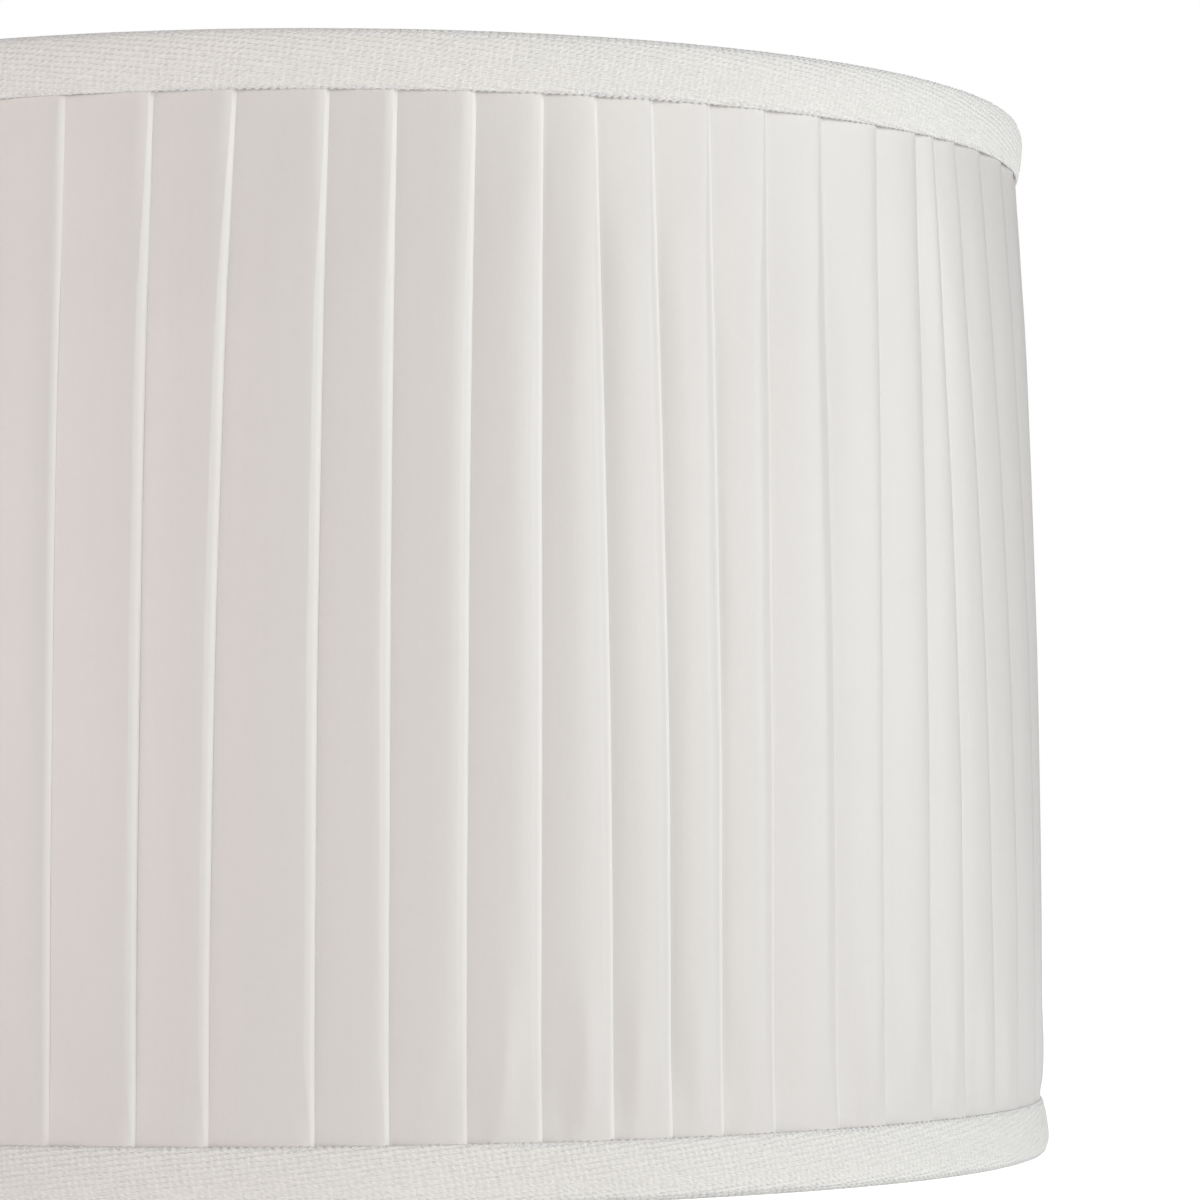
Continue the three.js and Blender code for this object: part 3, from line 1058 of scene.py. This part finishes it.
def pressed_strip(name, nodes, body):
    """Steel strips as the frame has them, with their cut edges rounded over."""
    build = bmesh.new()
    for node in nodes:
        build.from_mesh(frame["nodes"][node].data)
    bmesh.ops.remove_doubles(build, verts=build.verts, dist=0.01 * MM)
    flats = math.radians(1)
    bmesh.ops.dissolve_limit(build, angle_limit=flats, verts=build.verts, edges=build.edges)
    strips = finish_mesh(build, name)
    shaped(
        strips,
        "BEVEL",
        width=0.3 * MM,
        segments=3,
        limit_method="ANGLE",
        angle_limit=math.radians(20),
        harden_normals=True,
    )
    strips.data.materials.clear()
    strips.data.materials.append(ZINC)
    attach(strips, body)
    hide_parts(*nodes)


def both_ends_tree():
    """A part at one end of the tilt axis, made again at the other and turned half round."""
    t = GeometryTree("both_ends")
    ends = t.input("Ends", "Int")
    t.close(t.round_axis(t.given(), ends))
    return t


def on_axis(point):
    """Lays a part turned about Z along the tilt axis instead."""
    return Vector((point.z, point.y, PIVOT_HEIGHT - point.x))


def pivot_rivets(tree):
    """A domed head inside, a shank, and a tail rolled over outside."""
    low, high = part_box("pivot_rivet_right")
    inner = [(0, 0), (1.5, 0.04), (2.5, 0.25), (3.2, 0.65), (3.5, 1.05), (3.4, 1.3), (1.7, 1.3)]
    outer = [(1.7, -1.3), (3.4, -1.3), (3.5, -1.0), (3.1, -0.45), (2.5, -0.1), (1.9, 0.0)]
    rolled = [(1.4, -0.15), (1.15, -0.6), (0.6, -0.75), (0, -0.75)]
    outline = [(r * MM, low.x + h * MM) for r, h in inner]
    outline += [(r * MM, high.x + h * MM) for r, h in outer + rolled]
    rivets = lathe("pivot_rivets", outline, 32, on_axis, closed=False)
    tree.run(rivets, Ends=2, Material=ZINC)
    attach(rivets, "shade")
    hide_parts("pivot_rivet_right", "pivot_rivet_left")


def softened_band(inner, outer, low, high, edge):
    """The outline of a flat ring with its four edges eased."""
    eased = ((edge, 0), (0.3 * edge, 0.3 * edge), (0, edge))
    # For each edge: the way into the ring, the way up or down, and the way round it.
    edges = [(outer, -1, low, 1, 1), (outer, -1, high, -1, -1)]
    edges += [(inner, 1, high, -1, 1), (inner, 1, low, 1, -1)]
    return [(r + x * i, z + y * up) for r, i, z, up, way in edges for x, y in eased[::way]]


def pivot_washers(tree):
    low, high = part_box("pivot_washer_right")
    outline = softened_band(2 * MM, 4.2 * MM, low.x, high.x, 0.2 * MM)
    washers = lathe("pivot_washers", outline, 40, on_axis)
    tree.run(washers, Ends=2, Material=NYLON)
    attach(washers, "gimbal")
    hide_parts("pivot_washer_right", "pivot_washer_left")


def carrier():
    low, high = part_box("carrier_ring")
    outline = softened_band(21 * MM, high.x, low.z, high.z, 0.35 * MM)
    ring = turned_ring("carrier", outline, ZINC)
    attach(ring, "gimbal")
    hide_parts("carrier_ring")


def weld_spots(tree):
    """Low pips where each arm is welded down on the carrier, a pair to an arm."""
    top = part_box("carrier_ring")[1].z + 0.3 * MM + 1.5 * MM  # a gap, then the strip
    build = bmesh.new()
    for y in (-2.3 * MM, 2.3 * MM):
        made = bmesh.ops.create_uvsphere(build, u_segments=16, v_segments=10, radius=1.3 * MM)
        for vert in made["verts"]:
            vert.co = Vector((vert.co.x + 28 * MM, vert.co.y + y, vert.co.z * 0.2 + top))
    spots = finish_mesh(build, "weld_spots")
    tree.run(spots, Ends=2, Material=ZINC)
    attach(spots, "gimbal")


# The reducer in section, as (radius, height over its underside), in millimetres: a chamfered
# spigot, a flange with a raised bead at its edge, and a bore with an eased lip.
REDUCER_OUTLINE = [(14.5, 0.4), (14.9, 0.0), (19.9, 0.0), (20.3, 0.15), (20.5, 0.6), (20.5, 3.3)]
REDUCER_OUTLINE += [(23.6, 3.3), (24.0, 3.6), (24.0, 4.4), (23.8, 4.7), (23.4, 4.8)]
REDUCER_OUTLINE += [(22.9, 4.75), (22.6, 4.55), (22.2, 4.5), (16.6, 4.5), (16.2, 4.55)]
REDUCER_OUTLINE += [(15.8, 4.75), (15.3, 4.8), (14.8, 4.7), (14.5, 4.3)]


def reducer():
    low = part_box("reducer_ring")[0]
    outline = [(r * MM, low.z + h * MM) for r, h in REDUCER_OUTLINE]
    ring = turned_ring("reducer", outline, REDUCER)
    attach(ring, "reducer")
    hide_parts("reducer_ring")


# -------- neateners

NEATENER_WALL = 0.5 * MM
PATCH = (15 * MM, 15.5 * MM)  # across and up, as cut
PATCH_GRID = (30, 26)  # faces across and up
PATCH_TUCK = 2 * MM  # how far it goes on up under the tape
HEM = 0.3 * MM
HEM_START = 0.78  # share of the way from the middle to a side
STITCH = 1.6 * MM


def patch_point(column, row, low, top, face, sign, number):
    """A point of a neatener, whose bottom corners are rounded and whose sides draw in."""
    v = row / PATCH_GRID[1]
    z = low + (top - low) * v
    from_slit = z - SLIT_HEIGHT
    half = PATCH[0] / 2 * (1 - 0.35 * max(0.0, 1 - v / 0.3) ** 2)
    half -= 0.5 * MM * math.exp(-((from_slit / (3 * MM)) ** 2))
    u = column / PATCH_GRID[0] * 2 - 1
    y = u * half
    hem = HEM if abs(u) > HEM_START else 0.0
    pull = noise.noise(Vector((y * 300 + number * 7, z * 160, 0))) * 0.22 * MM
    near = math.exp(-(math.hypot(y / 8, from_slit / 3) / MM) ** 2)
    out = face - hem - pull * (1 - 0.5 * near) + 0.3 * MM * abs(u) ** 3
    return Vector((sign * out, sign * y, z))


def neatener(side, number):
    """A patch of lining with turned-in sides, slit for the hanger and tucked under the tape."""
    low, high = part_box(f"neatener_{side}")
    sign = 1 if side == "right" else -1
    face = min(abs(low.x), abs(high.x))
    across, up = PATCH_GRID
    shape = (low.z, high.z + PATCH_TUCK, face, sign, number)
    lines = [[patch_point(i, j, *shape) for i in range(across + 1)] for j in range(up + 1)]

    def flat(row, column):
        return column / across * PATCH[0], row / up * PATCH[1]

    inwards = Vector((-sign, 0, 0))
    name = f"neatener_patch_{side}"
    patch = laid_sheet(name, lines, flat, inwards, NEATENER_WALL, LINING)
    cut_slit(patch, sign * face, 5 * MM)
    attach(patch, "shade")
    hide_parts(f"neatener_{side}")
    return face


def stitch_tree():
    """Short slanted stitches on points that carry the way each one turns."""
    t = GeometryTree("stitches")
    length, girth = t.input("Length"), t.input("Girth")
    turn = t.out("GeometryNodeInputNamedAttribute", {"Name": "turn"}, data_type="FLOAT_VECTOR")
    drawn_out = t.xyz(girth, girth, length)
    t.close(t.on_points(t.given(), t.yarn(), turn, Scale=drawn_out))
    return t


def stitches(name, tree, places, length, girth):
    """places holds a point and a turn for each stitch, which lies along Z before it is turned."""
    mesh = bpy.data.meshes.new(name)
    mesh.from_pydata([place for place, _ in places], [], [])
    turns = [value for _, turn in places for value in turn]
    mesh.attributes.new("turn", "FLOAT_VECTOR", "POINT").data.foreach_set("vector", turns)
    row = new_object(name, mesh)
    tree.run(row, Length=length, Girth=girth, Material=YARN)
    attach(row, "shade")


def neatener_stitches(tree, face):
    """Slip stitches down both turned-in sides of each patch."""
    places = []
    for sign in (1, -1):
        for side in (1, -1):
            for i in range(5):
                z = SLIT_HEIGHT - (6.5 - 2.4 * i) * MM
                half = 6.9 * MM if i else 6.3 * MM
                spot = (sign * (face - 0.05 * MM), side * half, z)
                places.append((spot, (side * 0.7, 0.0, 0.0)))
    stitches("neatener_stitches", tree, places, STITCH, 0.3 * MM)


# -------- studio


# Each light's place, size, power in watts and colour. All look at the middle of the shade.
LIGHTS = {
    "key": ((1.455, -0.363, 0.5), (1.1, 1.0), 7.4, (0.945, 0.985, 0.995)),
    "front key": ((0.86, -1.229, 0.35), (0.7, 1.0), 5.8, (0.965, 0.975, 0.95)),
    "fill": ((-0.47, -1.63, 0.1), (1.2, 1.0), 4.7, (1.0, 0.89, 0.86)),
    "side fill": ((-1.3, -0.75, 0.1), (1.2, 1.0), 8.4, (1.0, 0.905, 0.865)),
    "back fill": ((-0.3, 1.6, 0.5), (1.2, 1.0), 8.5, (1.0, 0.96, 0.94)),
    "overhead": ((0.0, 0.0, 1.5), (0.5, 0.5), 3.0, (1.0, 0.985, 0.97)),
}
MIDDLE = Vector((0, 0, 0.1))
WHITE = (1.0, 1.0, 1.0, 1.0)


def area_light(name, place, size, power, colour):
    data = bpy.data.lights.new(name, "AREA")
    data.shape = "RECTANGLE"
    data.size, data.size_y = size
    data.energy = power
    data.color = colour
    lamp = new_object(name, data)
    lamp.location = place
    lamp.rotation_euler = (MIDDLE - Vector(place)).to_track_quat("-Z", "Y").to_euler()


def seen(wiring):
    """One where the camera looks straight at a surface, and zero for light thrown on."""
    return Term(wiring, wiring.node("ShaderNodeLightPath").outputs["Is Camera Ray"])


def studio():
    scene = bpy.context.scene
    scene.view_settings.view_transform = "Standard"
    world = bpy.data.worlds.new("studio")
    world.use_nodes = True
    scene.world = world
    w = Wiring(world.node_tree)
    world.node_tree.nodes.clear()
    lit = w.out("ShaderNodeBackground", {"Color": WHITE, "Strength": 0.2})
    backdrop = w.out("ShaderNodeBackground", {"Color": WHITE, "Strength": 1.0})
    choice = w.out("ShaderNodeMixShader", {0: seen(w), 1: lit, 2: backdrop})
    w.node("ShaderNodeOutputWorld", {"Surface": choice})
    for name, light in LIGHTS.items():
        area_light(name, *light)


def floor():
    mesh = bpy.data.meshes.new("studio_floor")
    reach = 6.0
    corners = [(-reach, -reach, 0), (reach, -reach, 0), (reach, reach, 0), (-reach, reach, 0)]
    mesh.from_pydata(corners, [], [(0, 1, 2, 3)])
    # Seen directly the floor is as white as the backdrop; it throws less light than that.
    w = Finish("studio_white")
    white = w.shaded(
        Base_Color=(0.8, 0.8, 0.8, 1.0),
        Roughness=0.9,
        Emission_Color=WHITE,
        Emission_Strength=seen(w) * 0.72 + 0.2,
    )
    mesh.materials.append(white)
    new_object("studio_floor", mesh)


CAMERA_PLACE = Vector((0, -1.0097, 0.0691))
YAW, PITCH, ROLL = 0.0564, 0.0453, -0.0067  # to the right, upwards and about the view


def camera():
    """Level with the lower part of the shade, a metre off, looking a little to its right."""
    data = bpy.data.cameras.new("camera")
    data.sensor_width = 36
    data.lens = 144.9
    data.clip_start = 0.01
    eye = new_object("camera", data)
    flat = math.cos(PITCH)
    ahead = Vector((math.sin(YAW) * flat, math.cos(YAW) * flat, math.sin(PITCH)))
    right = Vector((math.cos(YAW), -math.sin(YAW), 0))
    tilted = math.cos(ROLL) * right + math.sin(ROLL) * right.cross(ahead)
    facing = Matrix((tilted, tilted.cross(ahead), -ahead)).transposed().to_quaternion()
    eye.matrix_world = Matrix.LocRotScale(CAMERA_PLACE, facing, None)
    bpy.context.scene.camera = eye


# -------- assembly


def from_foot(rise):
    return rise


def from_head(rise):
    return HEIGHT - rise


camera()
studio()
floor()

thread = stitch_tree()
pleated_cover()
seam_stitches(thread, lining())
bound_tape("foot_tape", "bottom_tape", from_foot)
bound_tape("head_tape", "top_tape", from_head)
lap_stitches("foot_lap_stitches", thread, from_foot)
lap_stitches("head_lap_stitches", thread, from_head)
loops = selvedge_tree()
selvedge("foot_selvedge", loops, from_foot, 1)
selvedge("head_selvedge", loops, from_head, -1)
wire_frame()
pressed_strip("hanger_strips", ["hanger_right", "hanger_left"], "shade")
pressed_strip("gimbal_arms", ["gimbal_arm_right", "gimbal_arm_left"], "gimbal")
both_ends = both_ends_tree()
pivot_rivets(both_ends)
pivot_washers(both_ends)
weld_spots(both_ends)
carrier()
reducer()
patch_face = [neatener(side, number) for number, side in enumerate(("right", "left"))][0]
neatener_stitches(thread, patch_face)
